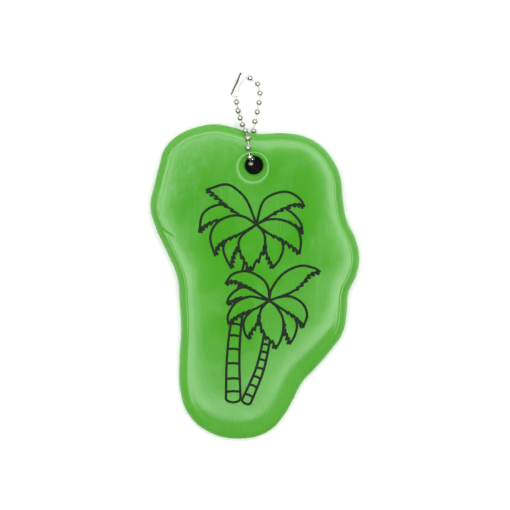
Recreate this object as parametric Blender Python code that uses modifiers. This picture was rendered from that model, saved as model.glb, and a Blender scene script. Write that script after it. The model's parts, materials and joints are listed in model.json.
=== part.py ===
"""Palm tree key float: a vinyl-dipped foam float with a printed face, on a loop of ball chain.

The float lies on its back with its hole end at +Y and its printed face up. The ball chain comes
up through the hole, runs over the face and down past the float's end to the clasp, and returns
under the float, so it lifts the hole end a little off the surface. Units are metres.
"""
import math

import bmesh
import bpy
from mathutils import Matrix, Vector
from mathutils.geometry import delaunay_2d_cdt

MM = 0.001

# Float
FLOAT_LENGTH = 131.9 * MM
FLOAT_THICKNESS = 9.5 * MM
EDGE_ROUND = 0.48 * FLOAT_THICKNESS
HOLE_RADIUS = 3.5 * MM
RIM_ROUND = 3.2 * MM
# Outline from the hole's centre, clockwise from the top of the left lobe, drawn in mm and scaled
# to the float's length
FLOAT_OUTLINE = (
    (-15.9, 17.2), (-8.4, 15.8), (0.4, 13.3), (12.6, 13.5), (20.6, 12.2), (27.3, 8.8),
    (33.2, 2.0), (36.4, -5.6), (37.3, -14.7), (39.1, -23.6), (42.5, -30.6), (44.2, -38.8),
    (42.7, -46.8), (39.7, -53.2), (38.9, -62.0), (37.4, -70.0), (32.5, -77.2), (26.2, -84.6),
    (20.1, -91.2), (16.7, -97.6), (12.8, -104.6), (5.9, -111.7), (-5.7, -114.7), (-19.4, -111.7),
    (-27.6, -104.2), (-30.9, -95.0), (-31.4, -82.6), (-30.7, -69.2), (-31.3, -56.7),
    (-32.3, -46.8), (-36.4, -36.8), (-41.0, -26.8), (-43.5, -17.2), (-41.8, -8.2),
    (-39.7, 0.0), (-37.5, 6.9), (-32.1, 12.4), (-24.4, 15.9),
)

# Print on the face
INK_WIDTH = 0.95 * MM
INK_THICKNESS = 0.12 * MM
INK_GAP = 0.1 * MM
MITRE_LIMIT = 1.5
TOOTH_DEPTH = 1.0 * MM
NOTCH_SHARE = 0.3
TEETH = 5
BACK_STEPS = 7
CENTRE_FROND_WIDTH = 10.4 * MM
SHOULDER_SHARE = 0.32

# Ball chain
BEAD_COUNT = 22
BEAD_RADIUS = 1.2 * MM
BEAD_WALL = 0.15 * MM
BEAD_HOLE_RADIUS = 0.55 * MM
WIRE_RADIUS = 0.18 * MM
HEAD_RADIUS = 0.6 * MM
HEAD_THICKNESS = 0.2 * MM
HEAD_OFFSET = 0.4 * MM
END_HEAD_OFFSET = 0.05 * MM
CHAIN_GAP = 0.1 * MM
# Where the chain passes the middle of the hole, and where it crosses the float's end
HOLE_PASS_Y = 0.1 * MM
END_PASS_X = -3.0 * MM
END_PASS_ANGLE = 38

# Clasp, a folded strip that holds the chain's two end beads
CLASP_LENGTH = 10.0 * MM
CLASP_DEPTH = 2.85 * MM
CLASP_WAIST_DEPTH = 1.55 * MM
CLASP_TAPER = 0.3 * MM
CLASP_SHEET = 0.25 * MM
CLASP_PLAY = 0.1 * MM
CLASP_FOLD_RADIUS = 0.55 * MM
CLASP_SLOT = 0.62 * MM
CLASP_CORNER = Vector((-5.75 * MM, 38.8 * MM))
CLASP_TURN = math.radians(246.2)


def collection(name):
    made = bpy.data.collections.new(name)
    bpy.context.scene.collection.children.link(made)
    return made


def material(name, colour, roughness, metallic=0.0):
    made = bpy.data.materials.new(name)
    made.use_nodes = True
    shader = made.node_tree.nodes["Principled BSDF"]
    shader.inputs["Base Color"].default_value = (*colour, 1.0)
    shader.inputs["Roughness"].default_value = roughness
    shader.inputs["Metallic"].default_value = metallic
    made.diffuse_color = (*colour, 1.0)
    return made


def empty(name, parent=None, matrix=None):
    made = bpy.data.objects.new(name, None)
    parts.objects.link(made)
    made.parent = parent
    if matrix is not None:
        made.matrix_local = matrix
    return made


def add(name, mesh, parent, matrix=None, where=None, looks=None):
    made = bpy.data.objects.new(name, mesh)
    (where or parts).objects.link(made)
    made.parent = parent
    if matrix is not None:
        made.matrix_local = matrix
    if looks is not None and not mesh.materials:
        mesh.materials.append(looks)
    return made


def mesh_from(name, build):
    """A mesh filled in by build(bm)."""
    bm = bmesh.new()
    build(bm)
    mesh = bpy.data.meshes.new(name)
    bm.to_mesh(mesh)
    bm.free()
    return mesh


def flat_curve_mesh(name, outline, half_depth, bevel=0.0, smooth=False):
    """A closed outline in the XY plane, filled and given depth, as a welded mesh."""
    curve = bpy.data.curves.new(name, "CURVE")
    curve.dimensions = "2D"
    curve.fill_mode = "BOTH"
    spline = curve.splines.new("BEZIER" if smooth else "POLY")
    if smooth:
        spline.bezier_points.add(len(outline) - 1)
        for point, (x, y) in zip(spline.bezier_points, outline):
            point.co = (x, y, 0.0)
            point.handle_left_type = point.handle_right_type = "AUTO"
    else:
        spline.points.add(len(outline) - 1)
        for point, (x, y) in zip(spline.points, outline):
            point.co = (x, y, 0.0, 1.0)
    spline.use_cyclic_u = True
    curve.resolution_u = 3
    curve.extrude = half_depth - bevel
    curve.bevel_depth = bevel
    curve.bevel_resolution = 3
    curve.offset = -bevel
    source = bpy.data.objects.new(name, curve)
    parts.objects.link(source)
    bpy.context.view_layer.update()
    depsgraph = bpy.context.evaluated_depsgraph_get()
    mesh = bpy.data.meshes.new_from_object(source.evaluated_get(depsgraph))
    bpy.data.objects.remove(source)
    bm = bmesh.new()
    bm.from_mesh(mesh)
    bmesh.ops.remove_doubles(bm, verts=bm.verts, dist=1e-6)
    bmesh.ops.recalc_face_normals(bm, faces=bm.faces)
    bm.to_mesh(mesh)
    bm.free()
    mesh.name = name
    mesh.materials.clear()
    return mesh


def profile_mesh(name, profile, closed):
    """A profile of (radius, height) points in the XZ plane, to be turned about Z."""
    def build(bm):
        verts = [bm.verts.new((radius, 0.0, height)) for radius, height in profile]
        for start, end in zip(verts, verts[1:] + verts[:1] if closed else verts[1:]):
            bm.edges.new((start, end))
    return mesh_from(name, build)


def turn(item, steps):
    screw = item.modifiers.new("turned", "SCREW")
    screw.steps = steps
    screw.render_steps = steps
    screw.use_merge_vertices = True
    screw.merge_threshold = 1e-6
    screw.use_smooth_shade = True


def boolean(item, cutter, operation="DIFFERENCE"):
    cut = item.modifiers.new(cutter.name, "BOOLEAN")
    cut.operation = operation
    cut.solver = "EXACT"
    cut.object = cutter
    cutter.hide_render = True
    cutter.display_type = "WIRE"


def smooth_shade(mesh, angle=40.0):
    mesh.shade_smooth()
    mesh.set_sharp_from_angle(angle=math.radians(angle))


for item in list(bpy.data.objects):
    bpy.data.objects.remove(item)

parts = collection("palm_tree_keychain")
cutters = collection("cutters")
root = empty("keychain_origin")

VINYL = material("green_vinyl", (0.14, 0.43, 0.07), 0.3)
INK = material("dark_ink", (0.02, 0.035, 0.02), 0.4)
NICKEL = material("nickel_plate", (0.72, 0.70, 0.65), 0.2, 1.0)


# How the float rests

# The chain bends through the hole on one round curve. The curve passes the hole's middle height
# near the hole's centre and clears the rounded rim by CHAIN_GAP.
rim_centre_y = HOLE_RADIUS + RIM_ROUND
rim_reach = RIM_ROUND + BEAD_RADIUS + CHAIN_GAP
rim_rise = FLOAT_THICKNESS / 2 - RIM_ROUND
pass_to_rim = rim_centre_y - HOLE_PASS_Y
bend_radius = (pass_to_rim**2 + rim_rise**2 - rim_reach**2) / (2 * (pass_to_rim - rim_reach))
bend_y = HOLE_PASS_Y + bend_radius
bend_overhang = bend_radius - FLOAT_THICKNESS / 2

# The bend's lowest bead lies on the surface, and the float's far edge does too
drawn_length = max(y for x, y in FLOAT_OUTLINE) - min(y for x, y in FLOAT_OUTLINE)
drawn_mm = FLOAT_LENGTH / drawn_length
outline = [(x * drawn_mm, y * drawn_mm) for x, y in FLOAT_OUTLINE]
lift = BEAD_RADIUS + bend_overhang
low_edge_y = min(y for x, y in outline) + EDGE_ROUND
tilt = math.asin(lift / (bend_y - low_edge_y))
float_matrix = (
    Matrix.Translation((0.0, 0.0, -low_edge_y * math.sin(tilt))) @ Matrix.Rotation(tilt, 4, "X")
)
float_rest = empty("float_rest", root, float_matrix)


# Foam float: one piece of closed-cell foam, dipped in vinyl, with rounded edges and a hole

def hole_cutter():
    """A cylinder that flares out at both faces, so the hole's rim comes out rounded."""
    arc_steps = 5
    flare_end = math.radians(80)
    top = []
    for step in range(arc_steps + 1):
        angle = flare_end * (1 - step / arc_steps)
        radius = HOLE_RADIUS + RIM_ROUND * (1 - math.cos(angle))
        height = FLOAT_THICKNESS / 2 - RIM_ROUND * (1 - math.sin(angle))
        top.append((radius, height))
    over = RIM_ROUND
    outer = (top[0][0] + over / math.tan(math.pi / 2 - flare_end), top[0][1] + over)
    side = [outer] + top
    profile = [(0.0, outer[1])] + side + [(r, -h) for r, h in reversed(side)] + [(0.0, -outer[1])]
    mesh = profile_mesh("hole_cutter", profile, closed=False)
    cutter = add("hole_cutter", mesh, float_rest, mid_float, where=cutters)
    turn(cutter, 32)
    return cutter


mid_float = Matrix.Translation((0.0, 0.0, FLOAT_THICKNESS / 2))
float_mesh = flat_curve_mesh("foam_float", outline, FLOAT_THICKNESS / 2, EDGE_ROUND, smooth=True)
foam_float = add("foam_float", float_mesh, float_rest, mid_float, looks=VINYL)
smooth_shade(float_mesh)
boolean(foam_float, hole_cutter())


# Palm print: two line-drawn palms, the front one over the rear one, in one layer of dark ink

def bezier(start, middle, end, steps):
    """Points on the parabola from start to end that passes through middle half-way."""
    control = middle * 2 - (start + end) / 2
    points = []
    for step in range(steps + 1):
        t = step / steps
        points.append(start * (1 - t) ** 2 + control * 2 * t * (1 - t) + end * t**2)
    return points


def side_of(points, index):
    """The unit normal, to the left of the line's run, at one of its points."""
    before = points[max(index - 1, 0)]
    after = points[min(index + 1, len(points) - 1)]
    along = (after - before).normalized()
    return Vector((-along.y, along.x))


def toothed_edge(start, middle, end, outward, teeth):
    """An edge from start to end through middle, cut into teeth that grow towards its end."""
    plain = bezier(start, middle, end, teeth * 2)
    edge = []
    for index in range(1, len(plain) - 1):
        share = index / (len(plain) - 1)
        reach = TOOTH_DEPTH * min(1.0, 1.6 * share)
        side = side_of(plain, index) * outward
        edge.append(plain[index] + side * (reach if index % 2 else -reach * NOTCH_SHARE))
    return edge


def frond_outline(crown, tip, back, inner, teeth):
    """A palm leaf: a smooth arched back and a saw-toothed lower edge, as a closed outline."""
    spine = bezier(crown, back, tip, BACK_STEPS)
    away = side_of([crown, inner, tip], 1)
    outward = 1.0 if away.dot(inner - back) > 0 else -1.0
    return spine + toothed_edge(crown, inner, tip, outward, teeth)[::-1]


def centre_frond_outline(crown, tip, width, teeth):
    """The frond that faces the viewer: wide shoulders and saw-toothed sides down to its tip."""
    along = tip - crown
    across = Vector((-along.y, along.x)).normalized()
    edges = []
    for sign in (1.0, -1.0):
        shoulder = crown + along * SHOULDER_SHARE + across * (sign * width / 2)
        neck = crown + along * SHOULDER_SHARE * 0.375 + across * (sign * width * 0.34)
        rim = bezier(crown, neck, shoulder, 2)[1:]
        bulge = shoulder.lerp(tip, 0.5) + across * (sign * width * 0.12)
        edges.append(rim + toothed_edge(shoulder, bulge, tip, sign, teeth))
    return [crown] + edges[0] + [tip] + edges[1][::-1]


def trunk_outline(centre_line, top_width, base_width, steps):
    """A curved, tapering trunk with a rounded foot, and the short strokes across it."""
    line = bezier(*centre_line, steps)
    left, right, rings = [], [], []
    for index, point in enumerate(line):
        half = (top_width + (base_width - top_width) * index / steps) / 2
        normal = side_of(line, index)
        left.append(point + normal * half)
        right.append(point - normal * half)
        if 0 < index < steps:
            rings.append([left[-1], right[-1]])
    foot = line[-1] + (line[-1] - line[-2]).normalized() * base_width * 0.25
    foot_side = side_of(line, steps) * base_width * 0.3
    return left + [foot + foot_side, foot - foot_side] + right[::-1], rings


def stroke(points, closed):
    """The line through the points as quads of ink, with mitred corners."""
    count = len(points)
    corners = []
    for index, point in enumerate(points):
        before = points[(index - 1) % count] if closed or index > 0 else None
        after = points[(index + 1) % count] if closed or index < count - 1 else None
        into = (point - before).normalized() if before is not None else (after - point).normalized()
        out = (after - point).normalized() if after is not None else into
        normal = Vector((-into.y, into.x)) + Vector((-out.y, out.x))
        normal.normalize()
        stretch = 1 / max(normal.dot(Vector((-into.y, into.x))), 1 / MITRE_LIMIT)
        offset = normal * (INK_WIDTH / 2 * stretch)
        corners.append((point + offset, point - offset))
    pairs = list(zip(corners, corners[1:] + corners[:1] if closed else corners[1:]))
    return [(a[0], a[1], b[1], b[0]) for a, b in pairs]


def palm_shapes(crown, trunk, fronds, centre_tip):
    """A palm's shapes from back to front. Each is (outline, strokes inside it)."""
    shapes = [trunk_outline(*trunk)]
    for frond in fronds:
        tip, back, inner = (crown + Vector(point) * drawn_mm for point in frond)
        shapes.append((frond_outline(crown, tip, back, inner, TEETH), []))
    tip = crown + Vector(centre_tip) * drawn_mm
    shapes.append((centre_frond_outline(crown, tip, CENTRE_FROND_WIDTH, TEETH), []))
    return shapes


def anticlockwise(points):
    """The outline in its own order, or reversed if that order runs clockwise."""
    doubled_area = sum(a.cross(b) for a, b in zip(points, points[1:] + points[:1]))
    return points if doubled_area > 0 else points[::-1]


def ink_layer(shapes):
    """The ink that shows of overlapping outlined shapes, as triangles: nearer shapes hide others."""
    verts, faces, is_ink = [], [], []
    for shape, inner_strokes in shapes:
        outer = anticlockwise(shape)
        layers = [([outer], False), (stroke(outer, True), True)]
        layers += [(stroke(line, False), True) for line in inner_strokes]
        for polygons, inked in layers:
            for polygon in polygons:
                faces.append(list(range(len(verts), len(verts) + len(polygon))))
                verts.extend(polygon)
                is_ink.append(inked)
    points, _, triangles, _, _, sources = delaunay_2d_cdt(verts, [], faces, 0, 1e-6)
    kept = [tri for tri, source in zip(triangles, sources) if source and is_ink[max(source)]]
    return points, kept


def largest_patch(bm):
    """Deletes every patch of faces that doesn't hang together with the largest one."""
    left = set(bm.faces)
    best = set()
    while left:
        patch = {left.pop()}
        border = list(patch)
        while border:
            face = border.pop()
            for edge in face.edges:
                for other in edge.link_faces:
                    if other in left:
                        left.discard(other)
                        patch.add(other)
                        border.append(other)
        if len(patch) > len(best):
            best = patch
    rest = [face for face in bm.faces if face not in best]
    bmesh.ops.delete(bm, geom=rest, context="FACES")


# The palms are drawn in the same mm as the float's outline
REAR_CROWN = Vector((1.0, -24.8)) * drawn_mm
FRONT_CROWN = Vector((6.4, -56.6)) * drawn_mm
# Each trunk's centre line, its widths at the crown and at the foot, and its rings' count
REAR_LINE = [REAR_CROWN, Vector((-6.6, -59.0)) * drawn_mm, Vector((-8.5, -97.6)) * drawn_mm]
REAR_TRUNK = (REAR_LINE, 2.6 * drawn_mm, 6.2 * drawn_mm, 14)
FRONT_LINE = [FRONT_CROWN, Vector((4.2, -79.6)) * drawn_mm, Vector((-3.2, -98.6)) * drawn_mm]
FRONT_TRUNK = (FRONT_LINE, 2.6 * drawn_mm, 4.2 * drawn_mm, 12)
# Each frond's tip and the middles of its arched back and of its lower edge, from its crown, and
# from back to front
REAR_FRONDS = (
    ((-23.4, -3.2), (-14.2, 7.8), (-11.5, -0.6)),
    ((19.4, -3.6), (12.2, 6.6), (9.8, -1.2)),
    ((-20.6, 14.6), (-8.8, 15.4), (-11.2, 7.0)),
    ((20.2, 7.6), (8.0, 12.8), (10.4, 4.6)),
    ((-10.5, -18.2), (-12.4, -6.6), (-5.8, -9.0)),
    ((6.9, -18.2), (10.8, -7.2), (4.0, -9.4)),
    ((-17.4, -13.2), (-14.6, 2.0), (-9.4, -5.2)),
    ((18.2, -12.2), (13.8, 1.2), (9.4, -5.4)),
)
FRONT_FRONDS = (
    ((-17.3, -1.2), (-10.6, 5.8), (-9.0, 0.8)),
    ((-18.0, 7.4), (-8.6, 11.8), (-9.2, 5.4)),
    ((21.0, 11.6), (8.2, 13.0), (10.8, 4.4)),
    ((-8.4, -16.4), (-10.2, -6.6), (-4.6, -8.0)),
    ((9.2, -18.2), (11.4, -7.8), (5.6, -9.0)),
    ((-16.8, -10.4), (-12.0, 0.8), (-8.4, -5.2)),
    ((15.0, -11.2), (12.2, 0.6), (8.0, -5.2)),
)
rear_palm = palm_shapes(REAR_CROWN, REAR_TRUNK, REAR_FRONDS, (-2.4, -19.4))
front_palm = palm_shapes(FRONT_CROWN, FRONT_TRUNK, FRONT_FRONDS, (2.4, -20.2))


def build_print(bm):
    points, triangles = ink_layer(rear_palm + front_palm)
    verts = [bm.verts.new((point.x, point.y, 0.0)) for point in points]
    for triangle in triangles:
        bm.faces.new([verts[index] for index in triangle])
    largest_patch(bm)
    loose = [vert for vert in bm.verts if not vert.link_faces]
    bmesh.ops.delete(bm, geom=loose, context="VERTS")
    bmesh.ops.recalc_face_normals(bm, faces=bm.faces)


print_matrix = Matrix.Translation((0.0, 0.0, FLOAT_THICKNESS + INK_GAP))
print_mesh = mesh_from("palm_print", build_print)
palm_print = add("palm_print", print_mesh, float_rest, print_matrix, looks=INK)
solidify = palm_print.modifiers.new("ink_layer", "SOLIDIFY")
solidify.thickness = INK_THICKNESS
solidify.offset = 1.0


# Ball chain: hollow beads on short wire links, whose heads sit inside the beads

clasp_along = Vector((math.cos(CLASP_TURN), math.sin(CLASP_TURN)))
clasp_out = Vector((-clasp_along.y, clasp_along.x))
clasp_seat = CLASP_SHEET + CLASP_PLAY + BEAD_RADIUS


def in_clasp(along, out):
    """A point at the clasp's middle height, from its corner along it and out of its back."""
    spot = CLASP_CORNER + clasp_along * along + clasp_out * out
    return Vector((spot.x, spot.y, clasp_seat))


def on_surface(x, y):
    return Vector((x * MM, y * MM, BEAD_RADIUS))


def through_hole(x, angle):
    """A point on the chain's bend through the hole: 0 is over the face, 180 under the back."""
    turned = math.radians(angle)
    y = bend_y - bend_radius * math.sin(turned)
    z = FLOAT_THICKNESS / 2 + bend_radius * math.cos(turned)
    return float_matrix @ Vector((x * MM, y, z))


def outline_y(x):
    """How far up the float's end reaches at x, along its outline's top."""
    for (x1, y1), (x2, y2) in zip(outline, outline[1:]):
        if x1 <= x <= x2:
            return y1 + (y2 - y1) * (x - x1) / (x2 - x1)
    raise ValueError("the chain passes beside the float's end")


# The bend off the float's end is concentric with the round of its edge, and lies on it
edge_bend_y = outline_y(END_PASS_X) - EDGE_ROUND
edge_bend_radius = EDGE_ROUND + BEAD_RADIUS


def over_edge(x, angle):
    """A point on the chain's bend off the float's end: 0 is level, 90 would be straight down."""
    turned = math.radians(angle)
    y = edge_bend_y + edge_bend_radius * math.sin(turned)
    z = FLOAT_THICKNESS + bend_overhang - edge_bend_radius * (1 - math.cos(turned))
    return float_matrix @ Vector((x * MM, y, z))


last_on_edge = over_edge(-3.0, END_PASS_ANGLE)


def hanging(x, beyond, share):
    """A point beyond the float's end, at a share of the drop from its edge to the surface."""
    drop = last_on_edge.z - BEAD_RADIUS
    return Vector((x * MM, last_on_edge.y + beyond * MM, last_on_edge.z - drop * share))


ROUTE = (
    in_clasp(CLASP_LENGTH - clasp_seat, clasp_seat),
    hanging(-7.15, 12.0, 0.94),
    hanging(-6.3, 8.2, 0.72),
    hanging(-5.2, 4.9, 0.46),
    hanging(-4.0, 2.1, 0.2),
    last_on_edge,
    over_edge(-2.65, 22),
    over_edge(-2.4, 5),
    through_hole(-2.3, 0),
    through_hole(-1.7, 25),
    through_hole(-1.35, 55),
    through_hole(-1.15, 90),
    through_hole(-0.9, 125),
    through_hole(-0.6, 155),
    through_hole(-0.4, 180),
    on_surface(-0.3, 10.9),
    on_surface(-0.2, 14.2),
    on_surface(0.35, 18.2),
    on_surface(1.4, 22.3),
    on_surface(2.15, 26.3),
    on_surface(2.5, 30.7),
    on_surface(1.5, 34.2),
    on_surface(-1.3, 36.4),
    in_clasp(clasp_seat, clasp_seat),
)


def smooth_path(stations, steps):
    """Points on a centripetal Catmull-Rom curve through the stations."""
    ends = [stations[0] * 2 - stations[1], *stations, stations[-1] * 2 - stations[-2]]
    points = [stations[0]]
    for index in range(1, len(ends) - 2):
        four = ends[index - 1:index + 3]
        knots = [0.0]
        for first, second in zip(four, four[1:]):
            knots.append(knots[-1] + math.sqrt((second - first).length))
        for step in range(1, steps + 1):
            t = knots[1] + (knots[2] - knots[1]) * step / steps
            level = list(four)
            for order in (1, 2, 3):
                nearer = []
                for low in range(len(level) - 1):
                    start, end = (low, low + order) if order != 2 else (low, low + 2)
                    if order == 3:
                        start, end = 1, 2
                    share = (t - knots[start]) / (knots[end] - knots[start])
                    nearer.append(level[low].lerp(level[low + 1], share))
                level = nearer
            points.append(level[0])
    return points


def step_along(path, index, start, chord):
    """The next point of the path that lies one chord from start, and the leg it is on."""
    while index < len(path) - 1 and (path[index + 1] - start).length < chord:
        index += 1
    if index >= len(path) - 1:
        leg = (path[-1] - path[-2]).normalized()
        return start + leg * chord, len(path) - 1
    a, b = path[index], path[index + 1]
    leg = b - a
    half_b = (a - start).dot(leg)
    root_part = half_b**2 - leg.length_squared * ((a - start).length_squared - chord**2)
    share = (-half_b + math.sqrt(max(root_part, 0.0))) / leg.length_squared
    return a + leg * share, index


def lay_chain(path, link_length):
    """Each link's two head centres along the path, and how far the last bead overshoots it.

    The last link is pushed into its two beads, and every other one is pulled out of them.
    """
    heads = []
    point, index = step_along(path, 0, path[0], HEAD_OFFSET)
    for link in range(BEAD_COUNT - 1):
        far, index = step_along(path, index, point, link_length)
        heads.append((point, far))
        if link < BEAD_COUNT - 2:
            next_offset = END_HEAD_OFFSET if link == BEAD_COUNT - 3 else HEAD_OFFSET
            point, index = step_along(path, index, far, HEAD_OFFSET + next_offset)
    last, index = step_along(path, index, far, END_HEAD_OFFSET)
    overshoot = (last - path[-1]).dot((path[-1] - path[-2]).normalized())
    if index < len(path) - 1:
        overshoot = -sum((b - a).length for a, b in zip(path[index:], path[index + 1:]))
    return heads, last, overshoot


def fit_chain(path):
    """The link length that puts the last bead at the path's end, and the chain laid with it."""
    low, high = 1.5 * BEAD_RADIUS, 6 * BEAD_RADIUS
    for _ in range(40):
        middle = (low + high) / 2
        heads, last, overshoot = lay_chain(path, middle)
        if overshoot > 0:
            high = middle
        else:
            low = middle
    return middle, heads


chain_path = smooth_path(ROUTE, 24)
link_length, link_heads = fit_chain(chain_path)


def arc_profile(radius, hole, steps, upwards):
    """Points of a round wall between its two holes, as (radius, height)."""
    polar = math.asin(hole / radius)
    points = []
    for step in range(steps + 1):
        angle = polar + (math.pi - 2 * polar) * step / steps
        points.append((radius * math.sin(angle), radius * math.cos(angle)))
    return points[::-1] if upwards else points


outer_wall = arc_profile(BEAD_RADIUS, BEAD_HOLE_RADIUS, 6, upwards=False)
inner_wall = arc_profile(BEAD_RADIUS - BEAD_WALL, BEAD_HOLE_RADIUS, 3, upwards=True)
bead_mesh = profile_mesh("bead", outer_wall + inner_wall, closed=True)

head_top = link_length / 2 + HEAD_THICKNESS / 2
head_under = link_length / 2 - HEAD_THICKNESS / 2
link_head = [(0.0, head_top), (HEAD_RADIUS, head_top), (HEAD_RADIUS, head_under)]
link_half = link_head + [(WIRE_RADIUS, head_under)]
link_profile = link_half + [(radius, -height) for radius, height in reversed(link_half)]
link_mesh = profile_mesh("link", link_profile, closed=False)


def pointing(centre, direction):
    return Matrix.Translation(centre) @ direction.to_track_quat("Z", "X").to_matrix().to_4x4()


# The loose end of the loop lifts at two pairs of beads, one in each strand
LEFT_LIFT_BEADS = (3, 2)
RIGHT_LIFT_BEADS = (17, 18)


def pivot_matrix(left, right):
    """A pivot midway between two link heads, with its X axis along the line through both."""
    across = (right - left).normalized()
    up = Vector((0.0, 0.0, 1.0))
    forward = up.cross(across).normalized()
    axes = Matrix((across, forward, across.cross(forward))).transposed()
    return Matrix.Translation((left + right) / 2) @ axes.to_4x4()


def lift_pivots():
    """Empties on the lift's four axes, nested from the float outwards, with their matrices."""
    made = []
    parent, parent_matrix = root, Matrix.Identity(4)
    for left_bead, right_bead in zip(LEFT_LIFT_BEADS, RIGHT_LIFT_BEADS):
        inner = (link_heads[left_bead - 1][0], link_heads[right_bead - 2][1])
        outer = (link_heads[left_bead - 2][1], link_heads[right_bead - 1][0])
        for left, right in (inner, outer):
            matrix = pivot_matrix(left, right)
            name = "lift_pivot_%d" % (len(made) + 1)
            pivot = empty(name, parent, parent_matrix.inverted() @ matrix)
            made.append((pivot, matrix))
            parent, parent_matrix = pivot, matrix
    return made


pivots = lift_pivots()


def holder_of_bead(number):
    """Which pivot carries a bead: None for the beads that stay with the float."""
    for level, pair in enumerate(zip(LEFT_LIFT_BEADS, RIGHT_LIFT_BEADS)):
        if number in pair:
            return pivots[2 * level]
    if number < LEFT_LIFT_BEADS[-1] or number > RIGHT_LIFT_BEADS[-1]:
        return pivots[-1]
    return None


def holder_of_link(number):
    """A link moves with the outer of its two beads' pivots, and starts at the inner bead's."""
    if number in (LEFT_LIFT_BEADS[1], RIGHT_LIFT_BEADS[0]):
        return pivots[1]
    if number < LEFT_LIFT_BEADS[1] or number > RIGHT_LIFT_BEADS[0]:
        return pivots[-1]
    return None


def add_carried(name, mesh, holder, matrix):
    parent, parent_matrix = holder or (root, Matrix.Identity(4))
    return add(name, mesh, parent, parent_matrix.inverted() @ matrix, looks=NICKEL)


for number in range(1, BEAD_COUNT + 1):
    if number == 1:
        first, second = link_heads[0]
        centre = chain_path[0]
    elif number == BEAD_COUNT:
        first, second = link_heads[-1]
        centre = chain_path[-1]
    else:
        first, second = link_heads[number - 2][1], link_heads[number - 1][0]
        second_offset = END_HEAD_OFFSET if number == BEAD_COUNT - 1 else HEAD_OFFSET
        centre = first.lerp(second, HEAD_OFFSET / (HEAD_OFFSET + second_offset))
    matrix = pointing(centre, second - first)
    bead = add_carried("bead_%02d" % number, bead_mesh, holder_of_bead(number), matrix)
    turn(bead, 10)

for number, (start, end) in enumerate(link_heads, 1):
    matrix = pointing((start + end) / 2, end - start)
    link = add_carried("link_%02d" % number, link_mesh, holder_of_link(number), matrix)
    turn(link, 6)


# Clasp: a strip folded to a trough, cupped at both ends, with a slot in each end for the link

def clasp_frame(along):
    """Local axes for the clasp: X out of its back, Y up, Z along it."""
    x_axis = Vector((clasp_out.x, clasp_out.y, 0.0))
    z_axis = Vector((clasp_along.x, clasp_along.y, 0.0))
    axes = Matrix((x_axis, z_axis.cross(x_axis), z_axis)).transposed().to_4x4()
    return Matrix.Translation(in_clasp(along, 0.0)) @ axes


def trough_section(back, half_width, depth, fold):
    """The trough's section, with its two folds rounded."""
    points = [(depth, half_width)]
    for sign in (1, -1):
        for step in range(4):
            angle = math.radians(90 + 30 * step) if sign > 0 else math.radians(180 + 30 * step)
            x = back + fold + fold * math.cos(angle)
            y = sign * (half_width - fold) + fold * math.sin(angle)
            points.append((x, y))
    points.append((depth, -half_width))
    return points


def clasp_side():
    """The clasp seen from its side, as (out, along): deep at both ends, shallow at its waist."""
    cup = 2 * clasp_seat
    middle = CLASP_LENGTH / 2
    end_depth = CLASP_DEPTH - CLASP_TAPER
    near = [(CLASP_DEPTH, clasp_seat / 2), (CLASP_DEPTH, clasp_seat),
            (CLASP_WAIST_DEPTH + CLASP_TAPER, cup), (CLASP_WAIST_DEPTH, (cup + middle) / 2)]
    far = [(out, CLASP_LENGTH - along) for out, along in reversed(near)]
    under = -CLASP_SHEET
    over = CLASP_PLAY
    return [(under, -over), (end_depth, -over), *near, *far,
            (end_depth, CLASP_LENGTH + over), (under, CLASP_LENGTH + over)]


clasp_middle = clasp_frame(CLASP_LENGTH / 2)
outer_section = trough_section(0.0, clasp_seat, CLASP_DEPTH + CLASP_SHEET, CLASP_FOLD_RADIUS)
clasp_mesh = flat_curve_mesh("clasp", outer_section, CLASP_LENGTH / 2)
key_loop, key_loop_matrix = pivots[-1]
clasp = add("clasp", clasp_mesh, key_loop, key_loop_matrix.inverted() @ clasp_middle, looks=NICKEL)

to_side_view = Matrix(((1, 0, 0, 0), (0, 0, -1, 0), (0, 1, 0, 0), (0, 0, 0, 1)))
side_mesh = flat_curve_mesh("clasp_side_guide", clasp_side(), 2 * clasp_seat)
side_mesh.transform(to_side_view)
side_guide = add("clasp_side_guide", side_mesh, key_loop,
                 key_loop_matrix.inverted() @ clasp_frame(0.0), where=cutters)
boolean(clasp, side_guide, "INTERSECT")

inner_section = trough_section(CLASP_SHEET, clasp_seat - CLASP_SHEET, 2 * CLASP_DEPTH,
                               CLASP_FOLD_RADIUS - CLASP_SHEET)
hollow_mesh = flat_curve_mesh("clasp_hollow_cutter", inner_section, CLASP_LENGTH / 2 - CLASP_SHEET)
hollow = add("clasp_hollow_cutter", hollow_mesh, key_loop,
             key_loop_matrix.inverted() @ clasp_middle, where=cutters)
boolean(clasp, hollow)

slot_depth_start = clasp_seat - 2 * WIRE_RADIUS


def build_slot(bm):
    bmesh.ops.create_cube(bm, size=1.0)
    bmesh.ops.scale(bm, vec=(2 * CLASP_DEPTH, CLASP_SLOT, 2 * CLASP_LENGTH), verts=bm.verts)
    bmesh.ops.translate(bm, vec=(slot_depth_start + CLASP_DEPTH, 0.0, 0.0), verts=bm.verts)


slot = add("clasp_slot_cutter", mesh_from("clasp_slot_cutter", build_slot), key_loop,
           key_loop_matrix.inverted() @ clasp_middle, where=cutters)
boolean(clasp, slot)


# The origin is put at the middle of the model's footprint, on the surface it lies on

def corners_in_world():
    bpy.context.view_layer.update()
    depsgraph = bpy.context.evaluated_depsgraph_get()
    points = []
    for item in parts.objects:
        if item.type == "MESH":
            shown = item.evaluated_get(depsgraph)
            points.extend(item.matrix_world @ vert.co for vert in shown.data.vertices)
    low = [min(point[axis] for point in points) for axis in range(3)]
    high = [max(point[axis] for point in points) for axis in range(3)]
    return low, high


low, high = corners_in_world()
root.location = (-(low[0] + high[0]) / 2, -(low[1] + high[1]) / 2, -low[2])
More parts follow.
